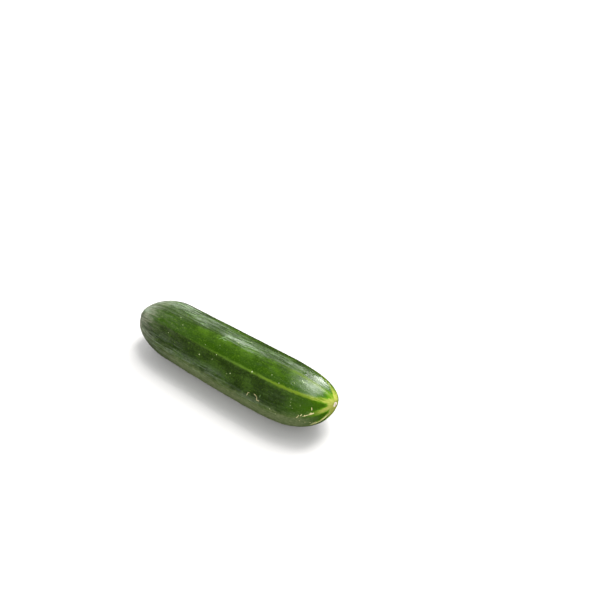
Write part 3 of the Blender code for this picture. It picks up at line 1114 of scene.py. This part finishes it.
# %% Dots as small bodies
DOT_SHARE = 0.85            # of the diameter that its body gets, as a dot's edge looks blurred
DOT_LENGTHS = (0.8, 1.25)   # length over width
DOT_FLATNESS = 0.28         # height over width
RESTING_SIDE = -0.85        # where the skin faces down more than this, it carries no dots


def placed_object(name, builder, material):
    """Turn a bmesh into an object of one material."""
    mesh = bpy.data.meshes.new(name)
    builder.to_mesh(mesh)
    builder.free()
    mesh.materials.append(material)
    made = bpy.data.objects.new(name, mesh)
    bpy.context.scene.collection.objects.link(made)
    return made


def marks_object(name, builder, material):
    """Turn a bmesh into marks that ride with the fruit."""
    made = placed_object(name, builder, material)
    made.data.shade_smooth()
    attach(made, "root")


builder = bmesh.new()
carried = 0
for station_mm, degrees, diameter_mm in dots:
    spot, normal = skin_spot(station_mm, degrees)
    if normal.z < RESTING_SIDE:
        continue
    turn = normal.to_track_quat("Z", "Y").to_matrix().to_4x4()
    half = DOT_SHARE * diameter_mm * MM / 2
    size = Matrix.Diagonal((half * draw.uniform(*DOT_LENGTHS), half, half * DOT_FLATNESS, 1))
    bmesh.ops.create_icosphere(builder, subdivisions=2, radius=1,
                               matrix=Matrix.Translation(spot) @ turn @ size)
    carried += 1
print(carried, "of the dots are clear of the side that it rests on")

# %% Cork
# Light and shaded crumbs of each sort
CORKS = {
    "pale_cork": ("#939b70", "#66703f"),        # dots, through which the green still shows
    "faded_cork": ("#b5a87e", "#857a52"),       # dull tan
    "whitish_cork": ("#a3b08c", "#7d8f68"),     # like a chalk mark on the green
    "tan_cork": ("#c9bf8c", "#9c8e62"),         # dry straw, the brightest
    "silvery_cork_and_glint": ("#668250", "#4b6835"),     # a trace only, a little paler than the skin; also the painted glints
}
CORK_ROUGHNESS = 0.8
CORK_CRUMB_MM = 0.4
CORK_HEIGHT = 0.00005


def cork(name):
    """Dead, dry tissue: no wax, so matt, with a crumbled grain."""
    light, shade = CORKS[name]
    material, shader = start_material(name)
    crumbs = grain(CORK_CRUMB_MM, 1.0, 3.0)
    share = add("MapRange", crumbs, 0.35, 0.7, **SMOOTH)
    feed(shader, {
        "Base Color": add("Mix", {0: share, 6: light, 7: shade}, **COLOURS),
        "Roughness": CORK_ROUGHNESS,
        "Normal": add("Bump", {"Height": crumbs, "Distance": CORK_HEIGHT, "Strength": 1.0}),
    })
    return material


marks_object("spine_dots", builder, cork("pale_cork"))
print(len(CORKS), "sorts of cork")

# %% [markdown]
# A healed scratch is a thin cord of cork that follows the skin and tapers at both ends. A curve with a
# round profile could give it, but would cut through the ridges between its points. So the line is taken
# to the nearest skin at every small step first, and a ring of points is set round each step.

# %% Lines of the scratches
# Each is a line over the skin, as stations in mm and angles in degrees, and its width in mm
HEALED_SCRATCHES = (
    (((90.4, 70.5), (91.7, 71.0), (93.0, 73.3)), 0.40),
    (((93.0, 73.3), (93.0, 78.7)), 0.52),
    (((92.8, 79.0), (94.9, 78.5)), 0.54),
    (((87.1, 73.3), (86.6, 80.2)), 0.38),
    (((86.9, 73.5), (88.0, 72.6)), 0.32),
)
PALE_SCRATCHES = (
    (((111.0, 6.6), (112.0, 8.4)), 0.50),
    (((112.2, 8.2), (113.0, 10.6)), 0.55),
    (((112.9, 7.6), (113.6, 8.6)), 0.40),
)
FRESH_SCRATCHES = (
    (((122.6, 55.7), (122.9, 60.0), (123.1, 64.8)), 0.60),
    (((124.4, 73.2), (123.4, 75.2), (122.4, 76.0)), 0.85),
    (((122.9, 71.0), (123.0, 76.0)), 0.60),
    (((123.8, 76.5), (122.2, 78.0)), 0.50),
    (((122.2, 78.0), (121.0, 80.0), (119.6, 83.0)), 0.54),
    (((120.6, 78.6), (120.4, 80.6)), 0.50),
    (((119.2, 77.0), (118.6, 81.6)), 0.60),
    (((117.6, 82.4), (116.8, 87.2)), 0.66),
    (((117.4, 79.8), (117.9, 81.0)), 0.45),
    (((129.4, 127.3), (128.9, 129.0), (127.9, 126.5), (126.7, 126.0), (125.6, 125.5), (124.2, 124.0),
      (121.8, 122.5)), 0.85),
    (((128.6, 118.0), (128.0, 121.0), (127.2, 121.5)), 0.60),
    (((125.0, 119.0), (123.9, 117.5), (122.9, 118.5)), 0.50),
    (((120.1, 105.0), (120.6, 106.2)), 0.45),
    (((122.3, 109.6), (122.8, 111.0)), 0.45),
    (((117.8, 97.2), (118.2, 98.6)), 0.45),
)
SILVER_LINES_AND_GLINTS = (            # the oldest and shallowest, and two painted glints at the stem end
    (((56.6, 13.5), (58.0, 7.8), (59.1, 1.5), (60.6, -4.0), (62.6, -7.3)), 0.50),
    (((58.2, 8.5), (60.0, 9.5), (61.6, 8.8)), 0.35),
    (((62.6, -7.3), (64.3, -12.5), (66.1, -14.7), (68.4, -14.5), (72.5, -16.8)), 0.45),
    (((64.9, 2.8), (67.5, 0.8), (70.7, 2.0), (73.9, -1.0), (76.8, -3.3), (79.6, -5.3)), 0.35),
    (((67.0, -8.0), (70.0, -9.5), (74.0, -11.5)), 0.35),
    # These two lines along the upper side of the stem end are painted glints, not scratches
    (((12.2, -31.5), (17.9, -29.5), (25.0, -29.2), (30.0, -34.0), (33.8, -39.0)), 0.70),
    (((26.0, -9.0), (30.8, -9.2), (34.5, -13.5), (36.3, -21.5), (40.6, -23.3)), 0.45),
    (((40.8, 2.5), (44.7, -5.5)), 0.40),
    (((94.6, 66.2), (94.6, 71.2)), 0.34),
)
print("The widest scratch is", max(width for _, width in FRESH_SCRATCHES), "mm wide")

# %% A line laid on the skin
WELT_SPACING = 0.00022


def line_on_skin(corners):
    """Points along a line over the skin, at a small even spacing."""
    spots = [skin_spot(*corner) for corner in corners]
    line = []
    for (one, _), (other, _) in zip(spots, spots[1:]):
        count = max(2, round((other - one).length / WELT_SPACING))
        line += [one.lerp(other, i / count) for i in range(count)]
    line.append(spots[-1][0])
    inner = [(a + 2 * b + c) / 4 for a, b, c in zip(line, line[1:], line[2:])]
    line = [line[0], *inner, line[-1]]
    return [skin_tree.find_nearest(point)[:2] for point in line]


print("The first line has", len(line_on_skin(HEALED_SCRATCHES[0][0])), "points")

# %% A welt along a line
WELT_SIDES = 8
WELT_SINK = 0.35            # how much of its half width a welt's middle lies under the skin
WELT_FLATNESS = 0.6         # height over width
WELT_UNEVEN = 0.8           # share of its width that lumps of this size add or take
WELT_LUMP_MM = 0.45


def add_welt(builder, corners, width_mm):
    """A tapering closed cord that follows the skin, half sunk in it."""
    line = line_on_skin(corners)
    rings = []
    for i, (spot, normal) in enumerate(line):
        ahead = line[min(i + 1, len(line) - 1)][0] - line[max(i - 1, 0)][0]
        side = normal.cross(ahead).normalized()
        taper = math.sin(math.pi * (i + 0.5) / len(line)) ** 0.5
        uneven = 1 + WELT_UNEVEN * noise.noise(spot / (WELT_LUMP_MM * MM))
        half = width_mm * MM / 2 * taper * uneven
        middle_point = spot - normal * half * WELT_SINK
        ring = []
        for k in range(WELT_SIDES):
            turn = 2 * math.pi * k / WELT_SIDES
            offset = side * math.cos(turn) * half + normal * math.sin(turn) * half * WELT_FLATNESS
            ring.append(builder.verts.new(middle_point + offset))
        rings.append(ring)
    for one, other in zip(rings, rings[1:]):
        for k in range(WELT_SIDES):
            following = (k + 1) % WELT_SIDES
            builder.faces.new((one[k], one[following], other[following], other[k]))
    builder.faces.new(rings[0])
    builder.faces.new(list(reversed(rings[-1])))


print("A welt has", WELT_SIDES, "sides")


# %% The scratches as pieces
def welts_object(name, lines, material):
    """All the scratches of one sort, as one piece."""
    builder = bmesh.new()
    for corners, width_mm in lines:
        add_welt(builder, corners, width_mm)
    bmesh.ops.recalc_face_normals(builder, faces=builder.faces)
    marks_object(name, builder, material)
    print(len(lines), name.replace("_", " "))


welts_object("healed_scratches", HEALED_SCRATCHES, cork("faded_cork"))
welts_object("pale_scratches", PALE_SCRATCHES, cork("whitish_cork"))
welts_object("fresh_scratches", FRESH_SCRATCHES, cork("tan_cork"))
welts_object("silvery_lines_and_glints", SILVER_LINES_AND_GLINTS, cork("silvery_cork_and_glint"))

# %% [markdown]
# ## Floor and light
# The fruit lies on a plain white floor, which is so bright in this light that it meets the pale room
# without an edge. A single lamp could light it, but a satin skin mirrors every lamp as a soft patch, so
# each one is sized and placed by the highlight that it leaves, and the camera sees none of them. A large
# key stands high behind and gives the long highlight. A narrow lamp low behind adds the small one near
# the scar, one almost overhead widens the long one, and a weak bluish panel to the left puts a sheen on
# the upper edge. A wide fill in front lightens the near side. Mirrored in the wax, the fill, the floor
# and the room would lie as a grey veil over the dark green, so these three light it and aren't mirrored.

# %% Floor
FLOOR_SIZE = 1.7
FLOOR_DROP = 0.00005        # below the fruit's flat, so that the two surfaces don't fight
FLOOR_WHITE = "#b8b6b4"
PAINT_ROUGHNESS = 0.9       # matt, so that the floor shows no lamp
PAINT_LEVEL = 0.1

builder = bmesh.new()
bmesh.ops.create_grid(builder, x_segments=1, y_segments=1, size=FLOOR_SIZE / 2)
painted_board, board_shader = start_material("matt_white_paint")
feed(board_shader, {
    "Base Color": FLOOR_WHITE,
    "Roughness": PAINT_ROUGHNESS,
    "Specular IOR Level": PAINT_LEVEL,
})
floor = placed_object("floor", builder, painted_board)
floor.location.z = -FLOOR_DROP
floor.visible_glossy = False
print("The floor is", FLOOR_SIZE, "m square")

# %% Lamps
# Azimuth (0 is the side of -Y) and elevation in degrees, distance and sides in m, radiance, colour and
# whether the skin mirrors it
LAMPS = {
    "key": (168, 62, 1.3, (0.60, 0.78), 17.0, "#ffffff", True),
    "key_edge": (190, 16, 1.35, (0.19, 0.78), 18.0, "#ffffff", True),
    "overhead": (140, 81, 1.3, (0.7, 0.35), 9.0, "#ffffff", True),
    "left_wall": (222, 11, 1.5, (0.9, 0.56), 0.45, "#f2f6ff", True),
    "front_fill": (355, 22, 1.4, (1.2, 0.8), 3.85, "#ffffff", False),
}


def soft_lamp(name, azimuth, elevation, distance, sides, radiance, colour, mirrored):
    """An area lamp that faces the fruit."""
    turn, rise = math.radians(azimuth), math.radians(elevation)
    towards = Vector((math.sin(turn) * math.cos(rise), -math.cos(turn) * math.cos(rise), math.sin(rise)))
    lamp = bpy.data.lights.new(name, "AREA")
    lamp.shape = "RECTANGLE"
    lamp.size, lamp.size_y = sides
    lamp.energy = radiance * math.pi * sides[0] * sides[1]
    lamp.color = linear(colour)[:3]
    made = bpy.data.objects.new(name, lamp)
    made.location = towards * distance
    made.rotation_euler = towards.to_track_quat("Z", "Y").to_euler()
    made.visible_camera = False
    made.visible_glossy = mirrored
    bpy.context.scene.collection.objects.link(made)


for name, lamp_values in LAMPS.items():
    soft_lamp(name, *lamp_values)
print(len(LAMPS), "lamps")

# %% Pale room
ROOM_COLOUR = "#f2f5f8"
ROOM_STRENGTH = 1.25

world = bpy.data.worlds.new("pale_room")
bpy.context.scene.world = world
world.use_nodes = True
feed(world.node_tree.nodes["Background"], {"Color": ROOM_COLOUR, "Strength": ROOM_STRENGTH})
world.cycles_visibility.glossy = False
bpy.context.scene.view_settings.view_transform = "Standard"
print("The room is", ROOM_STRENGTH, "times as bright as its colour")
